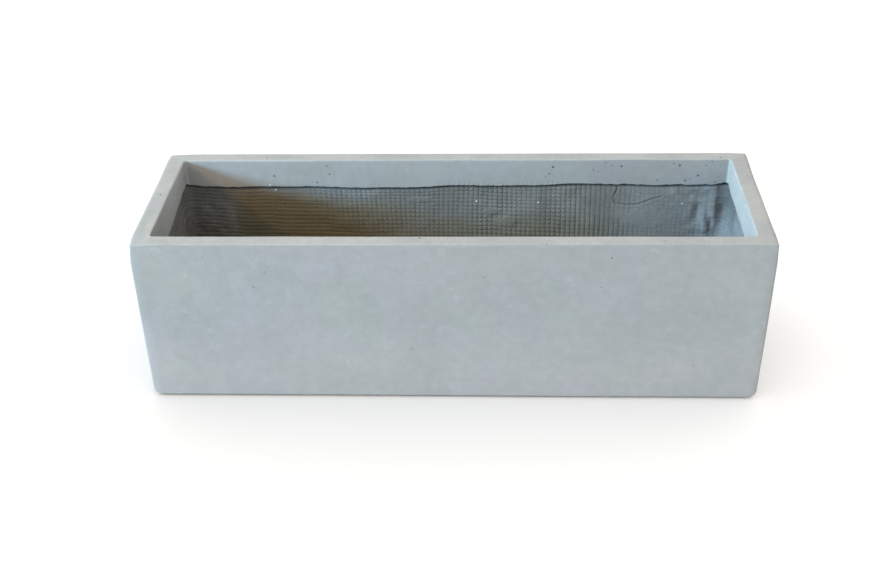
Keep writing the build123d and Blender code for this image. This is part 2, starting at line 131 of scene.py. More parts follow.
def ring_columns():
    """For each fine column, from front left: its side, how far along it is, and whether it is a corner."""
    columns = []
    for number, steps in enumerate(SIDE_STEPS):
        columns += [(number, i / steps, False) for i in range(steps)]
        columns += [(number, i / CORNER_STEPS, True) for i in range(CORNER_STEPS)]
    return columns


def ring(columns, side_inset, end_inset, radius):
    """The points and outward normals of a rounded rectangle, so far inside the casting's sides and ends."""
    hx, hy = half_length - end_inset, half_width - side_inset
    ix, iy = hx - radius, hy - radius
    starts = ((-ix, -hy), (hx, -iy), (ix, hy), (-hx, iy))
    ends = ((ix, -hy), (hx, iy), (-ix, hy), (-hx, -iy))
    centres = ((ix, -iy), (ix, iy), (-ix, iy), (-ix, -iy))
    points, normals = [], []
    for side, t, is_corner in columns:
        angle = math.radians(-90 + 90 * side + (90 * t if is_corner else 0))
        nx, ny = math.cos(angle), math.sin(angle)
        if is_corner:
            cx, cy = centres[side]
            points.append((cx + radius * nx, cy + radius * ny))
        else:
            (x0, y0), (x1, y1) = starts[side], ends[side]
            points.append((x0 + t * (x1 - x0), y0 + t * (y1 - y0)))
        normals.append((nx, ny))
    return np.array(points), np.array(normals)


def circle(points, radius):
    """The points of a circle, each in the same direction as the ring's point that it follows."""
    squashed = points * np.array([half_width / half_length, 1.0])
    angle = np.arctan2(squashed[:, 1], squashed[:, 0])
    return radius * np.stack([np.cos(angle), np.sin(angle)], axis=1)


def profile():
    """The casting's section, underside first. Each row is the inset from the sides and from the ends, the
    corner radius, z, how far the surface faces out and up, whether it is meshed finely, and its part."""
    rows = []

    def run(start, end, steps, facing, fine, part, radii):
        """A straight stretch between two places (side inset, end inset, z)."""
        for t in np.linspace(0, 1, steps + 1):
            side, end_wall, z = (a + t * (b - a) for a, b in zip(start, end))
            radius = radii[0] + t * (radii[1] - radii[0])
            rows.append((side, end_wall, radius, z, *facing, fine, part))

    def arc(centre, size, start, end, steps, fine, part, radii):
        """The inner points of an arc between two angles, in degrees up from facing straight out."""
        for t in np.linspace(0, 1, steps + 1)[1:-1]:
            angle = math.radians(start + t * (end - start))
            out, up = math.cos(angle), math.sin(angle)
            side, end_wall, z = centre[0] - size * out, centre[1] - size * out, centre[2] + size * up
            radius = radii[0] + t * (radii[1] - radii[0])
            rows.append((side, end_wall, radius, z, out, up, fine, part))

    outer, inner, cavity = corner_radius, opening_corner, cavity_corner
    ledge, turn = 60 * MM, cavity_corner - cavity_round + 2 * MM
    face_top = rim_z - 10 * MM
    run((ledge, ledge, base_z), (side_round, end_round, base_z), 4, (0, -1),
        False, "under", (40 * MM, outer))
    for angle in np.radians(np.linspace(-80, -10, 8)):
        out, up = math.cos(angle), math.sin(angle)
        height = end_round * (1 + up)
        side = side_round - math.sqrt(max(side_round**2 - max(side_round - height, 0) ** 2, 0))
        rows.append((side, end_round * (1 - out), outer, base_z + height, out, up, False, "base"))
    run((0, 0, base_z + end_round), (0, 0, face_top), 16, (1, 0), False, "face", (outer, outer))
    run((0, 0, face_top + 2 * MM), (0, 0, rim_z - outer_arris), 3, (1, 0), True, "face", (outer, outer))
    arc((outer_arris, outer_arris, rim_z - outer_arris), outer_arris, 0, 90, 5, True, "rim", (outer, outer))
    run((outer_arris, outer_arris, rim_z), (side_rim - inner_arris, end_rim - inner_arris, rim_z), 6,
        (0, 1), True, "rim", (outer, inner))
    arc((side_rim - inner_arris, end_rim - inner_arris, rim_z - inner_arris), inner_arris, 90, 180, 4,
        True, "rim", (inner, inner))
    run((side_rim, end_rim, rim_z - inner_arris), (side_rim, end_rim, lip_z + 1.2 * MM), 17, (-1, 0),
        True, "band", (inner, inner))
    lip_edge = (side_rim - 0.5 * MM, end_rim - 0.7 * MM, lip_z)
    lip_root = (wall + 0.4 * MM, wall + 0.4 * MM, lip_z + 0.8 * MM)
    run(lip_edge, lip_root, 2, (-0.5, -0.87), True, "lip", (inner + 1 * MM, cavity - 3 * MM))
    run((wall - 0.4 * MM, wall - 0.4 * MM, lip_z - 0.6 * MM), (wall, wall, fine_bottom), 44, (-1, 0),
        True, "rough", (cavity, cavity))
    run((wall, wall, fine_bottom - 4 * MM), (wall, wall, floor_z + cavity_round), 14, (-1, 0),
        False, "rough", (cavity, cavity))
    arc((wall + cavity_round, wall + cavity_round, floor_z + cavity_round), cavity_round, 180, 270, 4,
        False, "rough", (cavity, turn))
    run((wall + cavity_round, wall + cavity_round, floor_z), (ledge, ledge, floor_z), 4, (0, 1),
        False, "floor", (turn, 25 * MM))
    return rows


def casting():
    """The trough as one closed mesh, fine over the rim and the upper inner wall and coarse elsewhere.

    Returns its points, what is known of each point, and its faces."""
    columns = ring_columns()
    rows = profile()
    points, tags = [], {"out": [], "up": [], "nx": [], "ny": [], "part": [], "around": [], "inward": []}
    ring_starts, ring_fine = [], []

    outline, normals = ring(columns, 0, 0, corner_radius)
    cavity, _ = ring(columns, wall, wall, cavity_corner)
    steps = np.linalg.norm(np.roll(cavity, -1, axis=0) - cavity, axis=1)
    threads = round(steps.sum() / thread_pitch)
    around = (np.cumsum(steps) - steps) * threads * thread_pitch / steps.sum()

    def add_ring(flat, normals, z, out, up, fine, part, inward=0):
        """Adds one ring: a point for every column or, in a coarse ring, for every third one."""
        step = 1 if fine else THINNING
        ring_starts.append(len(points))
        ring_fine.append(fine)
        for (x, y), (nx, ny), s in zip(flat[::step], normals[::step], around[::step]):
            points.append((x, y, z))
            for key, value in zip(tags, (out, up, nx, ny, part, s, inward)):
                tags[key].append(value)

    for radius, z, out, up in (
        (drain_radius, floor_z, 0, 1),
        (drain_radius, base_z + recess_depth, 0, -1),
        (recess_radius, base_z + recess_depth, 0, -1),
        (recess_radius, base_z, 0, -1),
    ):
        add_ring(circle(outline, radius), normals, z, out, up, False, "under")
    for side, end_wall, radius, z, out, up, fine, part in rows:
        flat, normals = ring(columns, side, end_wall, radius)
        inward = min(side / side_rim, 1) if part in ("rim", "band") else 0
        add_ring(flat, normals, z, out, up, fine, part, inward)

    faces = []
    ring_count = len(ring_starts)
    coarse = len(columns) // THINNING
    for number in range(ring_count):
        after = (number + 1) % ring_count
        a, b = ring_starts[number], ring_starts[after]
        fine_a, fine_b = ring_fine[number], ring_fine[after]
        if fine_a == fine_b:
            count = len(columns) if fine_a else coarse
            for i in range(count):
                j = (i + 1) % count
                faces.append((a + i, a + j, b + j, b + i))
        else:
            # between a fine ring and a coarse one, each coarse step fans out to three fine ones
            for i in range(coarse):
                j = (i + 1) % coarse
                base = b if fine_b else a
                f = [base + (THINNING * i + k) % len(columns) for k in range(THINNING + 1)]
                c0, c1 = (a + i, a + j) if fine_b else (b + i, b + j)
                fan = [(c0, f[1], f[0]), (c0, c1, f[2], f[1]), (c1, f[3], f[2])]
                faces += fan if fine_b else [face[::-1] for face in fan]
    return np.array(points), {k: np.array(v) for k, v in tags.items()}, faces


def route_distance(x, z, route):
    """How far each (x, z) is from the nearest of a route's runs."""
    nearest = np.full(x.shape, np.inf)
    for (x0, z0), (x1, z1) in zip(route[:-1], route[1:]):
        dx, dz = x1 - x0, z1 - z0
        t = np.clip(((x - x0) * dx + (z - z0) * dz) / (dx * dx + dz * dz), 0, 1)
        nearest = np.minimum(nearest, np.hypot(x - x0 - t * dx, z - z0 - t * dz))
    return nearest


def spots(co, places):
    """From 0 to 1, how deep each point lies in the nearest of some round spots (x, y, z, radius), in mm."""
    depth = np.zeros(len(co))
    for *centre, radius in places:
        away = np.linalg.norm(co - np.array(centre) * MM, axis=1)
        depth = np.maximum(depth, np.exp(-((away / (radius * MM)) ** 2)))
    return depth


def scattered(co, allowed, count, sizes, seed):
    """Places for `count` spots, picked from the allowed points, with radii between two sizes."""
    rng = np.random.default_rng(seed)
    picked = rng.choice(np.flatnonzero(allowed), count, replace=False)
    return [(*(co[i] / MM), rng.uniform(*sizes)) for i in picked]


# where one coat of slurry overlaps another on the back wall, as (x, z) in mm
SEAM = ((169, 147), (168, 140), (165, 132), (166, 126), (178, 122), (192, 123), (203, 129), (216, 134))
# folds of slurry in the right-hand back corner: (x, z) in mm at the two ends of each
FOLDS = (
    ((228, 139), (248, 120)),
    ((250, 131), (264, 123)),
    ((259, 114), (263, 92)),
    ((270, 120), (273, 98)),
)
# smears of slurry that fill the print: (x, z, half length, half height) in mm
SMEARS = ((36, 114, 9, 4), (54, 102, 11, 6), (-36, 128, 12, 3), (200, 106, 26, 12))


def air_holes(seed, count, across, up, sizes):
    """Random air holes, in mm: two coordinates in their ranges, and a radius, more often a small one."""
    rng = np.random.default_rng(seed)
    small, large = sizes
    holes = []
    for _ in range(count):
        place = (rng.uniform(*across), rng.uniform(*up))
        holes.append((*place, small + (large - small) * rng.random() ** 2))
    return holes


def lip_shift(level, ny, x, y):
    """How far the band's lower edge lies above its nominal height: its wandering, and its torn edge."""
    at_back = -3.3 * MM + 2.4 * MM * smoothstep(-60 * MM, 60 * MM, x)
    at_back += 2 * MM * smoothstep(262 * MM, 282 * MM, np.abs(x))
    at_back += 1.3 * MM * noise(level, 45 * MM, 35) + 0.5 * MM * noise(level, 26 * MM, 2)
    at_left = 2 * MM - 11 * MM * smoothstep(76 * MM, -50 * MM, y)
    at_right = 1 * MM - 3 * MM * smoothstep(76 * MM, 60 * MM, y)
    at_right -= 3 * MM * smoothstep(5 * MM, -30 * MM, y)
    at_front = 1.4 * MM * noise(level, 85 * MM, 1)
    at_ends = np.where(x < 0, at_left, at_right) + 0.5 * MM * noise(level, 20 * MM, 1)
    wander = ny * ny * np.where(ny > 0, at_back, at_front) + (1 - ny * ny) * at_ends
    roughly = 0.6 + 0.8 * smoothstep(110 * MM, 200 * MM, x)
    torn = roughly * (0.6 * MM * noise(level, 6.5 * MM, 3) + 0.4 * MM * noise(level, 2.7 * MM, 4))
    return wander, torn


def print_depth(co, on_back):
    """How clearly the mesh shows on the rough wall, from 0 to 1: first its upright threads, then its level
    ones, and last how far the smears fill it."""
    x, _, z = co.T
    even = 0.62 + 0.38 * smoothstep(-0.6, 0.3, noise(co, 40 * MM, 9) + 0.45 * noise(co, 11 * MM, 10))
    even *= 1 + 0.3 * noise(co, 7 * MM, 34)
    upright = 0.08 + 0.92 * smoothstep(-190 * MM, -112 * MM, x - 0.6 * (lip_z - z))
    upright *= 1 - 0.75 * smoothstep(140 * MM, 205 * MM, x)
    level = 0.62 + 0.38 * smoothstep(-150 * MM, -80 * MM, x) - 0.75 * smoothstep(95 * MM, 150 * MM, x)
    smear = np.zeros(len(co))
    for cx, cz, rx, rz in SMEARS:
        away = np.hypot((x / MM - cx) / rx, (z / MM - cz) / rz)
        smear = np.maximum(smear, smoothstep(1.4, 0.6, away + 0.3 * noise(co, 5 * MM, 23)) * on_back)
    even *= 1 - 0.8 * smear
    elsewhere = 0.5 * even
    return np.where(on_back, even * upright, elsewhere), np.where(on_back, even * level, elsewhere), smear


# the top corners: which end and side each is at, how far it is worn in mm, and how much of that is endways
CORNER_WEAR = ((-1, -1, 2.0, 0.8), (1, -1, 1.0, 0.9), (1, 1, 0.5, 0.3), (-1, 1, 1.0, 0.4))


class Surface:
    """The casting's points while they are worked.

    x, y and z stay those of the plain casting. relief is how far each point is to be moved outwards, and
    layers holds what the material reads."""

    def __init__(self):
        self.points, self.tags, self.faces = casting()
        self.x, self.y, self.z = self.points.T.copy()
        self.level = self.points * [1, 1, 0]
        part = self.tags["part"]
        self.is_rough, self.is_band = part == "rough", part == "band"
        self.is_rim, self.is_lip = part == "rim", part == "lip"
        self.is_face = (part == "face") | (part == "base")
        self.inner = self.is_rough | self.is_band | self.is_lip
        self.on_back = self.inner & (self.tags["ny"] > 0.9)
        self.relief = np.zeros(len(self.points))
        self.layers = {"rough": self.is_rough | self.is_lip}

    def move_lip(self):
        """Lets the band's lip wander and tears it along its edge. Returns how far it has wandered."""
        z = self.z
        wander, torn = lip_shift(self.level, self.tags["ny"], self.x, self.y)
        held_above = smoothstep(rim_z - 1 * MM, lip_z + 1 * MM, z)
        held_below = smoothstep(lip_z - 34 * MM, lip_z - 1 * MM, z)
        at_edge = smoothstep(lip_z + 3 * MM, lip_z + 0.5 * MM, z)
        at_edge *= smoothstep(lip_z - 4 * MM, lip_z - 0.5 * MM, z)
        shift = wander * np.where(z > lip_z, held_above, held_below) + torn * at_edge
        self.points[:, 2] += np.where(self.inner, shift, 0)
        return np.where(self.inner, wander, 0)

    def print_mesh(self, drop):
        """Presses the glass-fibre mesh into the back wall. u and v count its threads, which run askew."""
        at, x, z, on_back = self.points, self.x, self.z, self.on_back
        skew = 2.0 * MM * noise(at, 90 * MM, 5) + 0.5 * MM * noise(at, 24 * MM, 6)
        sag = 3.4 * MM * noise(at, 110 * MM, 7) + 0.8 * MM * noise(at, 20 * MM, 8)
        u = (self.tags["around"] + skew) / thread_pitch
        v = (z + sag + 0.03 * x) / weft_pitch
        upright, across, smear = print_depth(at, on_back)
        above_lip = smoothstep(lip_z + 8 * MM, lip_z + 1 * MM, z - drop) * self.is_band * on_back
        ribs = above_lip * smoothstep(-190 * MM, -160 * MM, x) * smoothstep(130 * MM, 90 * MM, x)
        print_u = np.where(self.is_rough, upright, 0.6 * ribs)
        print_v = np.where(self.is_rough, across, 0)
        groove_u = 0.5 + 0.5 * np.cos(2 * math.pi * u)
        groove_v = 0.5 + 0.5 * np.cos(2 * math.pi * v)
        pressed_u = -groove_depth * groove_u * print_u * on_back
        self.relief += pressed_u - groove_depth * groove_v * print_v * on_back
        self.relief += 0.25 * MM * smear
        self.layers["thread_u"] = u
        self.layers["thread_v"] = v
        self.layers["print_u"] = np.where(on_back, 0.66, 1.0) * print_u
        self.layers["print_v"] = np.where(on_back, 0.78, 1.0) * print_v

    def roughen(self):
        """Lumps and ripples on the rough wall, most at its ends, and the folds in its right-hand corner."""
        at, x, is_rough = self.points, self.x, self.is_rough
        to_end = smoothstep(232 * MM, 256 * MM, np.abs(x)) * is_rough
        lumps = 0.4 * MM * noise(at, 34 * MM, 13) + 0.25 * MM * noise(at, 11 * MM, 14)
        ripples = 0.35 * MM * noise(at * [1, 1, 4], 30 * MM, 24) * (x < -40 * MM)
        end_lumps = 1.2 * MM * noise(at * [1, 1, 0.7], 11 * MM, 15) + 0.9 * MM * noise(at, 5.5 * MM, 16)
        self.relief += np.where(is_rough, lumps + ripples, 0)
        self.relief += to_end * end_lumps
        in_corner = is_rough & (self.y > 55 * MM)
        across = x / MM + 2 * noise(at, 12 * MM, 31)
        up = self.z / MM + 2 * noise(at, 12 * MM, 32)
        for fold in FOLDS:
            away = route_distance(across, up, fold)
            self.relief += np.where(in_corner, 1.7 * MM * np.exp(-((away / 4.4) ** 2)), 0)

    def hollow_out(self):
        """The hollows under the lip and in the right-hand back corner. Painted shade darkens them, and the
        left end of the back wall."""
        x, y, z, is_rough = self.x, self.y, self.z, self.is_rough
        # painted shade at the left end of the back wall
        gloom = 0.20 * smoothstep(-225 * MM, -255 * MM, x) * is_rough * (self.tags["ny"] > 0.3)
        in_corner = smoothstep(270 * MM, 279 * MM, x) * smoothstep(35 * MM, 68 * MM, y) * is_rough
        in_corner *= smoothstep(92 * MM, 124 * MM, z)
        under_lip = smoothstep(lip_z - 5 * MM, lip_z - 1.2 * MM, z) * is_rough
        self.relief -= 1.5 * MM * in_corner
        self.relief -= under_lip * (1.6 * MM + 0.6 * MM * noise(self.level, 18 * MM, 25))
        in_hollow = np.maximum(under_lip, self.is_lip)
        # painted shade: the colour is darkened in the hollows, over the lip and at the left end of the back
        # wall
        self.layers["shade"] = np.maximum(in_hollow, np.maximum(0.75 * in_corner, gloom))

    def lay_seam(self):
        """The groove where one coat of slurry overlaps another, with a low bank beside it, and painted shade
        in the groove.
        """
        from_seam = route_distance(self.x / MM + 0.8 * noise(self.points, 6 * MM, 27), self.z / MM, SEAM)
        in_seam = np.exp(-((from_seam / 0.8) ** 2)) * self.on_back * self.is_rough
        beside_seam = np.exp(-(((from_seam - 1.8) / 1.2) ** 2)) * self.on_back * self.is_rough
        self.relief += -0.8 * MM * in_seam + 0.35 * MM * beside_seam
        # painted shade along the groove where the coats overlap
        self.layers["painted_seam_shade"] = in_seam

    def painted_shade_and_light(self):
        """Painted brown shade low down and towards the left, and painted bluish light on parts of the rough
        wall.
        """
        at, x, z = self.points, self.x, self.z
        # painted shade, darker low down and towards the left, tinted brown like the warm lamp's light
        painted_low_shade = smoothstep(134 * MM, 104 * MM, z + 0.10 * x + 8 * MM * noise(at, 40 * MM, 26))
        to_left = smoothstep(70 * MM, -120 * MM, x) * (1 - 0.8 * smoothstep(-218 * MM, -250 * MM, x))
        # painted shade, darker towards the bottom
        low = 0.6 * smoothstep(124 * MM, 92 * MM, z + 6 * MM * noise(at, 30 * MM, 28))
        painted_brown_shade = np.maximum(0.9 * painted_low_shade * to_left, low * smoothstep(200 * MM, 110 * MM, x))
        self.layers["painted_shade_and_light"] = np.where(self.is_rough, painted_brown_shade, 0) * np.where(x < -235 * MM, 0.5, 1)
        # painted cool light: bluish and lighter towards the right-hand end, where the window's light falls,
        # and in a stretch on the left
        painted_cool_light = 0.38 * smoothstep(130 * MM, 240 * MM, x) + 0.48 * smoothstep(240 * MM, 262 * MM, x)
        painted_cool_light += 0.35 * smoothstep(-40 * MM, -110 * MM, x) * smoothstep(-240 * MM, -190 * MM, x)
        self.layers["painted_cool_light"] = painted_cool_light

    def warp(self):
        """A slight warp of the faces, the outer ones always inwards, and bites out of the arrises."""
        at, is_rim = self.points, self.is_rim
        warp = 0.22 * MM * (noise(at, 120 * MM, 17) - 1) + 0.05 * MM * (noise(at, 25 * MM, 18) - 1)
        self.relief += np.where(self.is_face, warp, 0)
        self.relief += np.where(is_rim, 0.16 * MM * (noise(at, 40 * MM, 19) - 1), 0)
        self.relief += np.where(self.is_band, 0.30 * MM * noise(at, 45 * MM, 20), 0)
        on_arris = is_rim & (self.tags["up"] < 0.97)
        bites = np.clip(noise(at, 5 * MM, 21) - 0.5, 0, 1)
        bites += 1.4 * np.clip(noise(at, 9 * MM, 22) - 0.72, 0, 1)
        self.relief -= np.where(on_arris & (self.tags["out"] > 0.1), 1.5 * MM * bites + 0.12 * MM, 0)
        self.relief -= np.where(on_arris & (self.tags["out"] < -0.1), 0.8 * MM * bites, 0)

    def pit(self):
        """Air holes in the front and end bands, and specks of lime by the lip and on the print."""
        at, on_back = self.points, self.on_back
        holes = self.is_band * spots(at, scattered(at, self.is_band & ~on_back, 22, (0.7, 1.2), 11))
        self.relief -= 0.9 * MM * holes
        by_lip = on_back & (np.abs(self.z - lip_z) < 6 * MM) & (np.abs(self.x + 170 * MM) < 50 * MM)
        on_print = on_back & self.is_rough & (self.z > 122 * MM) & (self.x > -60 * MM)
        specks = scattered(at, by_lip, 3, (0.8, 1.3), 12) + scattered(at, on_print, 3, (0.8, 1.2), 13)
        self.layers["hole"] = holes
        self.layers["lime"] = spots(at, specks)

    def apply_relief(self):
        """Moves every point out along its normal by its relief."""
        nx, ny, out, up = (self.tags[key] for key in ("nx", "ny", "out", "up"))
        self.points += np.stack([nx * out, ny * out, up], axis=1) * self.relief[:, None]

    def wear_top(self):
        """Wears the top corners, and bows both ends in a little along the top."""
        x, y, z = self.x, self.y, self.z
        top_side = (self.is_face | self.is_rim) * (self.tags["out"] > -0.1)
        near_top = smoothstep(rim_z - 18 * MM, rim_z - 2 * MM, z) * top_side
        for side_x, side_y, wear, endways in CORNER_WEAR:
            away = np.hypot(x - side_x * half_length, y - side_y * half_width)
            worn = wear * MM * np.exp(-((away / (15 * MM)) ** 2)) * near_top
            self.points -= worn[:, None] * [endways * side_x, 0.3 * side_y, 1]
        bow = smoothstep(-92 * MM, -55 * MM, y) * smoothstep(98 * MM, 35 * MM, y)
        bow *= smoothstep(30 * MM, rim_z, z)
        by_end = smoothstep(284 * MM, half_length, np.abs(x))
        self.points[:, 0] -= 1.2 * MM * bow * np.sign(x) * by_end * top_side

    def lean(self):
        """Sets the opening a little to the back, leans the front face in towards its right-hand top corner
        and the right-hand end in towards its foot, and keeps every point inside the casting's box."""
        x, z, inward = self.x, self.z, self.tags["inward"]
        self.points[:, 1] += inward * 0.7 * MM + inward * 0.4 * MM * noise(self.level, 260 * MM, 29)
        to_front = np.clip((-self.y - (half_width - side_rim)) / side_rim, 0, 1)
        front_weight = to_front * (self.is_face | self.is_rim)
        lean = 1.4 * MM * smoothstep(-140 * MM, 250 * MM, x) * smoothstep(70 * MM, rim_z, z)
        self.points[:, 1] += lean * front_weight
        at_right = smoothstep(250 * MM, half_length, x)
        self.points[:, 0] -= 2 * MM * smoothstep(rim_z, -60 * MM, z) * at_right * self.is_face
        self.points[:] = np.clip(
            self.points, (-half_length, -half_width, base_z), (half_length, half_width, rim_z)
        )

    def tone(self):
        """How far the rim is sanded down, how much lighter the band is with painted light, where the arrises
        are, a painted highlight on the inner front one, and painted floor light low on the face.
        """
        x, y, is_rim, is_band = self.x, self.y, self.is_rim, self.is_band
        nx, ny, out, up = (self.tags[key] for key in ("nx", "ny", "out", "up"))
        sanded = is_rim * smoothstep(0.45, 0.80, up + 0.15 * noise(self.level, 12 * MM, 30))
        patch = 0.3 * smoothstep(0.1, 0.6, noise(self.level, 38 * MM, 33))
        patch *= smoothstep(0.9, 0.5, self.tags["inward"])
        left_front = 0.5 * smoothstep(-286 * MM, -292 * MM, x) * smoothstep(-5 * MM, -30 * MM, y)
        # a lighter band, and painted light on it: full on the right-hand end and the front, less along the
        # back, and at the left end painted bounce light towards the back corner
        at_back = 0.58 - 0.36 * smoothstep(110 * MM, 160 * MM, x)
        at_left = 0.56 - 0.54 * smoothstep(10 * MM, -55 * MM, y)
        band_lightness_and_painted_light = np.where(self.on_back, at_back, np.where(nx < -0.9, at_left, 1))
        self.layers["sanded"] = sanded * (1 - np.maximum(patch, left_front))
        self.layers["band"] = band_lightness_and_painted_light * (is_band | (is_rim & (out < -0.1)))
        self.layers["back_band"] = (is_band | is_rim) & (ny > 0.9)
        # painted highlight along the inner front arris of the rim
        self.layers["painted_arris_highlight"] = is_rim & (out < -0.3) & (up > 0.1) & (ny < -0.9)
        self.layers["arris"] = is_rim & (out > 0.1) & (up > 0.1)
        # painted floor light: the face lighter towards its foot
        self.layers["low"] = self.is_face * smoothstep(105 * MM, 20 * MM, self.z)

    def mesh(self, name):
        """The points as a smooth Blender mesh that carries the layers."""
        data = bpy.data.meshes.new(name)
        data.from_pydata(self.points.tolist(), [], self.faces)
        data.update()
        data.polygons.foreach_set("use_smooth", [True] * len(data.polygons))
        for key, values in self.layers.items():
            layer = data.attributes.new(key, "FLOAT", "POINT")
            layer.data.foreach_set("value", np.asarray(values, dtype=np.float32))
        return data


def planter_casting():
    """Makes the planter's casting, worn, warped and printed by the mesh that backed it."""
    surface = Surface()
    drop = surface.move_lip()
    surface.print_mesh(drop)
    surface.roughen()
    surface.hollow_out()
    surface.lay_seam()
    surface.painted_shade_and_light()
    surface.warp()
    surface.pit()
    surface.apply_relief()
    surface.wear_top()
    surface.lean()
    surface.tone()
    data = surface.mesh("planter_casting")
    piece = bpy.data.objects.new("planter_casting", data)
    bpy.context.scene.collection.objects.link(piece)
    piece.data.materials.append(cement())
    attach(piece, "trough")
    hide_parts("planter_shell")


# ---------------------------------------------------------------- materials
class Shader:
    """A node tree with a Principled shader, and short ways to add nodes to it."""

    def __init__(self, name, roughness, base=(0.5, 0.5, 0.5), **settings):
        self.material = bpy.data.materials.new(name)
        self.material.use_nodes = True
        self.tree = self.material.node_tree
        self.shader = self.tree.nodes["Principled BSDF"]
        self.shader.inputs["Roughness"].default_value = roughness
        self.shader.inputs["Base Color"].default_value = (*base, 1)
        for key, value in settings.items():
            self.shader.inputs[key.replace("_", " ")].default_value = value
        self.place = self.node("ShaderNodeTexCoord").outputs["Object"]

    def node(self, kind, **settings):
        made = self.tree.nodes.new(kind)
        for key, value in settings.items():
            setattr(made, key, value)
        return made

    def link(self, source, target):
        self.tree.links.new(source, target)

    def put(self, target, value):
        """Gives a socket a link or a plain value."""
        if hasattr(value, "links"):
            self.link(value, target)
        else:
            target.default_value = value

    def noise(self, size, detail, roughness=0.55, stretch=(1, 1, 1)):
        """A noise texture from 0 to 1 with features of about `size` metres."""
        mapping = self.node("ShaderNodeMapping")
        self.link(self.place, mapping.inputs["Vector"])
        mapping.inputs["Scale"].default_value = stretch
        texture = self.node("ShaderNodeTexNoise")
        self.link(mapping.outputs["Vector"], texture.inputs["Vector"])
        texture.inputs["Scale"].default_value = 1 / size
        texture.inputs["Detail"].default_value = detail
        texture.inputs["Roughness"].default_value = roughness
        return texture.outputs["Fac"]

    def cells(self, size):
        """Cells of about `size` metres: the distance from each one's middle, and its random colour."""
        texture = self.node("ShaderNodeTexVoronoi")
        self.link(self.place, texture.inputs["Vector"])
        texture.inputs["Scale"].default_value = 1 / size
        return texture.outputs["Distance"], texture.outputs["Color"]

    def near(self, flat, centre, radius):
        """1 within `radius` of a line that is square to the flat directions, and 0 away from it, in mm."""
        made = self.node("ShaderNodeVectorMath", operation="MULTIPLY")
        self.link(self.place, made.inputs[0])
        made.inputs[1].default_value = flat
        away = self.node("ShaderNodeVectorMath", operation="DISTANCE")
        self.link(made.outputs["Vector"], away.inputs[0])
        away.inputs[1].default_value = [number * MM for number in centre]
        return self.spread(away.outputs["Value"], 0.6 * radius * MM, 1.1 * radius * MM, 1, 0)

    def attribute(self, name):
        return self.node("ShaderNodeAttribute", attribute_name=name).outputs["Fac"]

    def math(self, operation, a, b=0.0):
        made = self.node("ShaderNodeMath", operation=operation)
        self.put(made.inputs[0], a)
        self.put(made.inputs[1], b)
        return made.outputs[0]

    def spread(self, value, low, high, to_low=0.0, to_high=1.0):
        """Maps a value from one range to another, smoothly and clamped."""
        made = self.node("ShaderNodeMapRange", interpolation_type="SMOOTHSTEP")
        self.put(made.inputs["Value"], value)
        for key, number in (("From Min", low), ("From Max", high), ("To Min", to_low), ("To Max", to_high)):
            made.inputs[key].default_value = number
        return made.outputs["Result"]

    def mix(self, factor, first, second, blend="MIX"):
        made = self.node("ShaderNodeMix", data_type="RGBA", blend_type=blend)
        self.put(made.inputs["Factor"], factor)
        for socket, colour in ((made.inputs[6], first), (made.inputs[7], second)):  # the colour sockets
            self.put(socket, (*colour, 1) if isinstance(colour, tuple) else colour)
        return made.outputs[2]

    def times(self, first, second):
        """One colour multiplied by another, or by a number."""
        return self.mix(1.0, first, second, "MULTIPLY")

    def tint(self, colour, mask, amount, towards):
        """A colour taken so far towards another where a mask is 1, and less where it is less."""
        return self.mix(self.math("MULTIPLY", mask, amount), colour, towards)

    def bump(self, height, distance, strength, below=None):
        """A normal that stands for a height map, on top of the normal below it."""
        made = self.node("ShaderNodeBump")
        self.link(height, made.inputs["Height"])
        made.inputs["Distance"].default_value = distance
        made.inputs["Strength"].default_value = strength
        if below is not None:
            self.link(below, made.inputs["Normal"])
        return made.outputs["Normal"]

    def finish(self, colour=None, roughness=None, normal=None):
        """Links what is given to the shader, and returns the material."""
        for key, value in (("Base Color", colour), ("Roughness", roughness), ("Normal", normal)):
            if value is not None:
                self.link(value, self.shader.inputs[key])
        return self.material


def face_colour(s):
    """The outer faces: cloudy blue-grey with violet and green patches, lime, flecks, painted floor light low
    down, and a lighter band, partly painted light.
    """
    clouds = s.spread(s.noise(0.075, 4), 0.35, 0.68)
    face = s.mix(clouds, (0.246, 0.258, 0.257), (0.264, 0.272, 0.271))
    violet = s.spread(s.noise(0.045, 3, 0.5), 0.50, 0.62)
    face = s.tint(face, violet, 0.7, (0.266, 0.270, 0.286))
    green = s.spread(s.noise(0.060, 3, 0.5), 0.54, 0.66)
    face = s.tint(face, green, 0.45, (0.256, 0.278, 0.262))
    lime = s.spread(s.noise(0.028, 5, 0.62), 0.60, 0.80)
    face = s.tint(face, lime, 0.22, (0.37, 0.38, 0.38))
    flecks = s.spread(s.noise(0.011, 4, 0.6), 0.60, 0.76)
    face = s.tint(face, flecks, 0.20, (0.36, 0.39, 0.40))
    mottle = s.spread(s.noise(0.008, 4, 0.6), 0.30, 0.70, 0.955, 1.03)
    face = s.times(face, mottle)
    # painted floor light, lighter low on the face
    face = s.mix(s.attribute("low"), face, s.times(face, (1.12, 1.08, 1.07)))
    face = s.tint(face, s.attribute("arris"), 0.9, (0.222, 0.232, 0.228))
    # the lighter band, partly painted light
    return s.mix(s.attribute("band"), face, s.times(face, (1.42, 1.42, 1.40)))


def rim_colour(s):
    """The flat rim, sanded down to a paler, warmer, sandy grey."""
    rim = s.mix(s.spread(s.noise(0.05, 3), 0.35, 0.65), (0.292, 0.290, 0.283), (0.328, 0.322, 0.305))
    blotches = s.spread(s.noise(0.006, 4, 0.6), 0.30, 0.70, 0.955, 1.035)
    sand = s.spread(s.noise(0.0016, 2), 0.35, 0.68, 0.97, 1.03)
    return s.times(s.times(rim, blotches), sand)


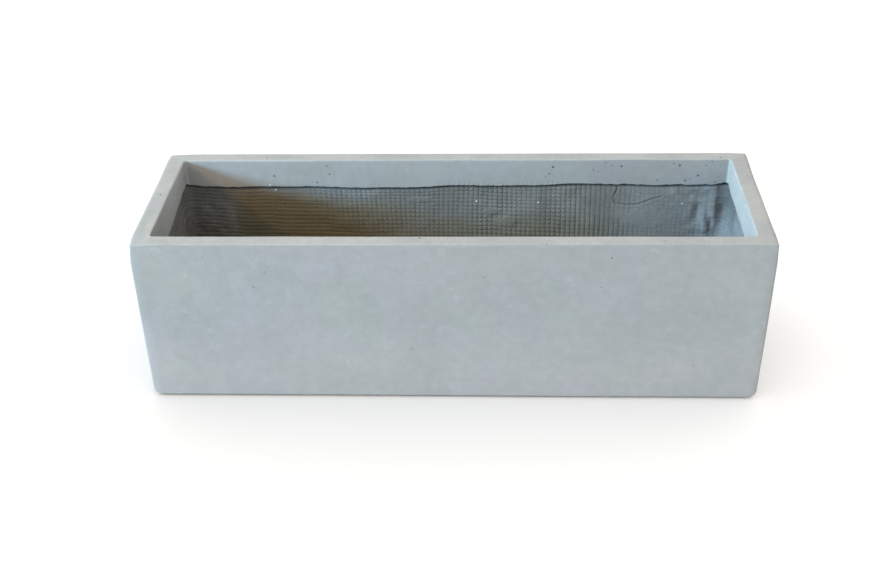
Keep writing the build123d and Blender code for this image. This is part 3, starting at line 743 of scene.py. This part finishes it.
def slurry_colour(s):
    """The rough inner wall: dark, gritty slurry, with painted bluish light in places and painted brown shade
    in others.
    """
    slurry = s.mix(s.spread(s.noise(0.035, 4), 0.35, 0.68), (0.148, 0.149, 0.141), (0.196, 0.195, 0.182))
    # painted cool light, bluish, on parts of the rough wall
    slurry = s.mix(s.attribute("painted_cool_light"), slurry, (0.232, 0.254, 0.268))
    # painted brown shade, low down and towards the left
    slurry = s.mix(s.attribute("painted_shade_and_light"), slurry, (0.142, 0.119, 0.068))
    grit = s.spread(s.noise(0.0022, 3), 0.30, 0.70, 0.90, 1.08)
    return s.times(slurry, grit)


def print_grooves(s):
    """The print of the mesh, as fine grooves that follow its threads both ways."""
    grooves = None
    for direction in "uv":
        wave = s.math("COSINE", s.math("MULTIPLY", s.attribute("thread_" + direction), 2 * math.pi))
        groove = s.math("MULTIPLY", s.spread(wave, 0.0, 1.0), s.attribute("print_" + direction))
        grooves = s.math("MAXIMUM", grooves, groove) if grooves else groove
    return grooves


def bored(s, holes, places, is_level, mask):
    """Adds round holes inside a mask: down into a level face, or else square to the front and back."""
    for x, other, radius in places:
        if is_level:
            hole = s.near((1, 1, 0), (x, other, 0), radius)
        else:
            hole = s.near((1, 0, 1), (x, 0, other), radius)
        holes = s.math("MAXIMUM", holes, s.math("MULTIPLY", hole, mask))
    return holes


def cement_holes(s, rough, sanded):
    """Air holes, darkened with painted shade: small pinholes everywhere but on the rough wall, and a few
    larger ones.
    """
    distance, dice = s.cells(0.016)
    chosen = s.spread(dice, 0.80, 0.82)
    pinhole = s.math("MULTIPLY", s.spread(distance, 0.025, 0.045, 1, 0), chosen)
    holes = s.math("MAXIMUM", pinhole, s.spread(s.attribute("hole"), 0.25, 0.75))

    along, between_ends = (-290, 290), (-75, 75)
    back_strip, right_strip = (79, 91), (284, 298)
    front_strip, left_strip = (-91, -79), (-298, -284)
    rim_sizes = (0.6, 1.3)
    rim_holes = air_holes(43, 4, along, front_strip, rim_sizes)
    rim_holes += air_holes(44, 4, along, back_strip, rim_sizes)
    rim_holes += air_holes(45, 1, left_strip, between_ends, rim_sizes)
    rim_holes += air_holes(46, 3, right_strip, between_ends, rim_sizes)
    holes = bored(s, holes, rim_holes, True, s.spread(sanded, 0.1, 0.3))

    in_face = s.math("SUBTRACT", 1.0, s.math("MAXIMUM", s.attribute("band"), sanded))
    holes = bored(s, holes, air_holes(47, 9, along, (10, 170), (0.5, 0.8)), False, in_face)

    band_height = (148, 176)
    band_holes = air_holes(41, 16, (10, 270), band_height, (0.7, 1.6))
    band_holes += air_holes(42, 4, (-270, -90), band_height, (0.7, 1.1))
    holes = bored(s, holes, band_holes, False, s.spread(s.attribute("back_band"), 0.4, 0.6))
    return s.math("MULTIPLY", holes, s.math("SUBTRACT", 1.0, rough))


def cement():
    """Blue-grey glass-fibre cement: cloudy, limy in patches, sanded on the rim, dark and rough inside."""
    s = Shader("fibre_cement", 0.82, Specular_IOR_Level=0.28)
    rough, sanded = s.attribute("rough"), s.attribute("sanded")
    grooves = print_grooves(s)
    holes = cement_holes(s, rough, sanded)

    colour = s.mix(sanded, face_colour(s), rim_colour(s))
    # painted highlight on the rim's inner front arris
    colour = s.tint(colour, s.attribute("painted_arris_highlight"), 0.4, (0.42, 0.42, 0.41))
    colour = s.mix(rough, colour, slurry_colour(s))
    # painted shade in the hollows, over the lip and at the left end of the back wall
    colour = s.tint(colour, s.attribute("shade"), 0.75, (0.045, 0.050, 0.052))
    # painted shade in the grooves of the mesh's print
    colour = s.tint(colour, grooves, 0.36, (0.075, 0.080, 0.080))
    # painted shade in the air holes
    colour = s.tint(colour, holes, 0.75, (0.065, 0.070, 0.075))
    # painted shade along the groove where the coats of slurry overlap
    colour = s.tint(colour, s.attribute("painted_seam_shade"), 0.5, (0.06, 0.065, 0.07))
    colour = s.mix(s.spread(s.attribute("lime"), 0.25, 0.7), colour, (0.72, 0.74, 0.74))

    grain = s.bump(s.noise(0.0011, 2), 0.00010, 0.5)
    pocks = s.bump(s.noise(0.0045, 4, 0.65), 0.0005, 0.28, grain)
    pitted = s.bump(s.math("SUBTRACT", 1.0, holes), 0.0008, 0.7, pocks)
    normal = s.bump(s.math("SUBTRACT", 1.0, grooves), 0.0006, 0.8, pitted)
    roughness = s.spread(s.noise(0.02, 3), 0.3, 0.7, 0.74, 0.90)
    return s.finish(colour, roughness, normal)


def moulded(name, base, roughness, depth=0.00006, dust=0.12):
    """Injection-moulded plastic: a fine spark-eroded grain, faint flow marks and a film of lime dust."""
    s = Shader(name, roughness)
    dark = tuple(0.86 * c for c in base)
    light = tuple(min(1.14 * c + 0.004, 1) for c in base)
    colour = s.mix(s.spread(s.noise(0.03, 3, stretch=(1, 1, 0.35)), 0.35, 0.65), dark, light)
    film = s.spread(s.noise(0.018, 5, 0.62), 0.50, 0.80)
    colour = s.tint(colour, film, dust, (0.38, 0.38, 0.36))
    shine = s.spread(s.noise(0.012, 4), 0.3, 0.7, roughness - 0.07, roughness + 0.10)
    normal = s.bump(s.noise(0.0009, 2), depth, 0.7)
    normal = s.bump(s.noise(0.02, 2), 0.0003, 0.2, normal)
    return s.finish(colour, shine, normal)


def rubber(name, base):
    """Black rubber: dull, slightly bloomed."""
    s = Shader(name, 0.72)
    bloom = s.spread(s.noise(0.006, 4), 0.45, 0.75)
    colour = s.tint(base, bloom, 0.22, (0.13, 0.13, 0.125))
    normal = s.bump(s.noise(0.0007, 2), 0.00008, 0.6)
    return s.finish(colour, s.spread(s.noise(0.008, 3), 0.3, 0.7, 0.62, 0.82), normal)


def steel(name):
    """Drawn stainless wire, brushed along its length."""
    s = Shader(name, 0.32, Metallic=1.0)
    lines = s.noise(0.0012, 2, stretch=(6, 0.3, 6))
    colour = s.mix(lines, (0.46, 0.46, 0.47), (0.68, 0.68, 0.69))
    return s.finish(colour, s.spread(lines, 0.3, 0.7, 0.24, 0.40), s.bump(lines, 0.00003, 0.5))


def clear_plastic(name):
    """A clear moulded cap, a little hazed by lime."""
    s = Shader(name, 0.06, (0.93, 0.97, 0.97), IOR=1.49, Transmission_Weight=1.0)
    haze = s.spread(s.noise(0.006, 4, 0.6), 0.45, 0.80, 0.04, 0.22)
    return s.finish(None, haze, s.bump(s.noise(0.01, 2), 0.0002, 0.15))


def foam(name):
    """Closed-cell float foam, skinned, with its beads just showing."""
    s = Shader(name, 0.62)
    distance, _ = s.cells(0.0028)
    beads = s.spread(distance, 0.15, 0.62)
    colour = s.mix(beads, (0.80, 0.80, 0.77), (0.66, 0.66, 0.62))
    return s.finish(colour, None, s.bump(s.math("SUBTRACT", 1.0, beads), 0.00025, 0.6))


def dress_nodes():
    """Gives every CAD node that still shows its material."""
    looks = {
        "foot_rubber": rubber("foot_rubber", (0.040, 0.040, 0.042)),
        "seal_rubber": rubber("seal_rubber", (0.028, 0.028, 0.030)),
        "tray_plastic": moulded("tray_plastic", (0.032, 0.033, 0.035), 0.48, dust=0.16),
        "plate_plastic": moulded("plate_plastic", (0.070, 0.073, 0.075), 0.55, dust=0.10),
        "cup_plastic": moulded("cup_plastic", (0.045, 0.047, 0.049), 0.50, dust=0.10),
        "leg_plastic": moulded("leg_plastic", (0.085, 0.087, 0.090), 0.50),
        "tube_plastic": moulded("tube_plastic", (0.150, 0.158, 0.162), 0.42, depth=0.00003),
        "cap_plastic": moulded("cap_plastic", (0.055, 0.057, 0.060), 0.38, dust=0.06),
        "fitting_plastic": moulded("fitting_plastic", (0.040, 0.041, 0.045), 0.30, depth=0.00002, dust=0.08),
        "pin_steel": steel("pin_steel"),
        "window_clear": clear_plastic("window_clear"),
        "float_foam": foam("float_foam"),
        "float_rod": moulded("float_rod", (0.72, 0.72, 0.69), 0.40, depth=0.00002, dust=0.0),
        "marker_red": moulded("marker_red", (0.55, 0.025, 0.018), 0.28, depth=0.00001, dust=0.0),
    }
    for entry in frame["record"]["subparts"]:
        slot = entry["material_slot"]
        if slot in looks:
            node = frame["nodes"][entry["node"]]
            node.data.materials.clear()
            node.data.materials.append(looks[slot])


# ---------------------------------------------------------------- stage, lights and camera
def studio():
    """A plain near-white floor in a soft bright surround. Returns the floor."""
    floor_size = 8.0
    bpy.ops.mesh.primitive_plane_add(size=floor_size, location=(0, 0, 0))
    floor = bpy.context.object
    floor.name = "studio_floor"
    s = Shader("floor_paint", 0.9, Specular_IOR_Level=0.1)
    tone = s.mix(s.noise(0.6, 2), (0.93, 0.93, 0.93), (0.95, 0.95, 0.95))
    floor.data.materials.append(s.finish(tone))

    world = bpy.data.worlds.new("studio")
    bpy.context.scene.world = world
    world.use_nodes = True
    surround = world.node_tree.nodes["Background"]
    surround.inputs["Color"].default_value = (1.0, 0.985, 0.96, 1)
    surround.inputs["Strength"].default_value = 1.25
    return floor


def side_light_receivers(floor):
    """Everything but the floor, so that the side lights lay no shadow across it."""
    receivers = bpy.data.collections.new("side_light_receivers")
    receivers.objects.link(floor)
    receivers.collection_objects[0].light_linking.link_state = "EXCLUDE"
    return receivers


def area_light(name, towards, distance, size, power, colour, receivers):
    """A rectangular light, `distance` away in the direction `towards`, aimed at the trough."""
    light = bpy.data.lights.new(name, "AREA")
    light.shape = "RECTANGLE"
    light.size, light.size_y = size
    light.energy = power
    light.color = colour
    holder = bpy.data.objects.new(name, light)
    bpy.context.scene.collection.objects.link(holder)
    target = Vector((0, 0, rim_z))
    direction = Vector(towards).normalized()
    holder.location = target + direction * distance
    holder.rotation_euler = direction.to_track_quat("Z", "Y").to_euler()
    holder.light_linking.receiver_collection = receivers


def lights(floor):
    """A large cool window low on the left, and a small warm lamp above it."""
    receivers = side_light_receivers(floor)
    area_light("window", (-1.0, -0.42, 0.332), 4.2, (1.2, 0.75), 303, (0.38, 0.73, 1.0), receivers)
    area_light("lamp", (-1.0, -0.60, 0.80), 3.0, (0.27, 0.27), 27, (1.0, 0.50, 0.08), receivers)


def camera():
    """The camera, in front and a little to the right, looking 33 degrees down.

    Its place is in lengths of the trough, from the middle of the rim."""
    length = 2 * half_length
    data = bpy.data.cameras.new("camera")
    data.sensor_width = 36
    data.lens = 50.32
    pitch, yaw, roll = math.radians(33.09), math.radians(-3.014), math.radians(-1.527)
    forward = Vector((math.sin(yaw) * math.cos(pitch), math.cos(yaw) * math.cos(pitch), -math.sin(pitch)))
    level = Vector((math.cos(yaw), -math.sin(yaw), 0))
    upright = level.cross(forward)
    right = level * math.cos(roll) + upright * math.sin(roll)
    up = upright * math.cos(roll) - level * math.sin(roll)
    holder = bpy.data.objects.new("camera", data)
    bpy.context.scene.collection.objects.link(holder)
    turn = Matrix((right, up, -forward)).transposed().to_4x4()
    place = Vector((0.0624, -1.7473, 0.9651)) * length + Vector((0, 0, rim_z))
    holder.matrix_world = Matrix.Translation(place) @ turn
    bpy.context.scene.camera = holder


for leftover in [o for o in bpy.data.objects if o.type in {"LIGHT", "CAMERA"}]:
    bpy.data.objects.remove(leftover)
bpy.context.scene.view_settings.view_transform = "Standard"
camera()
lights(studio())
dress_nodes()
planter_casting()

bpy.context.view_layer.update()
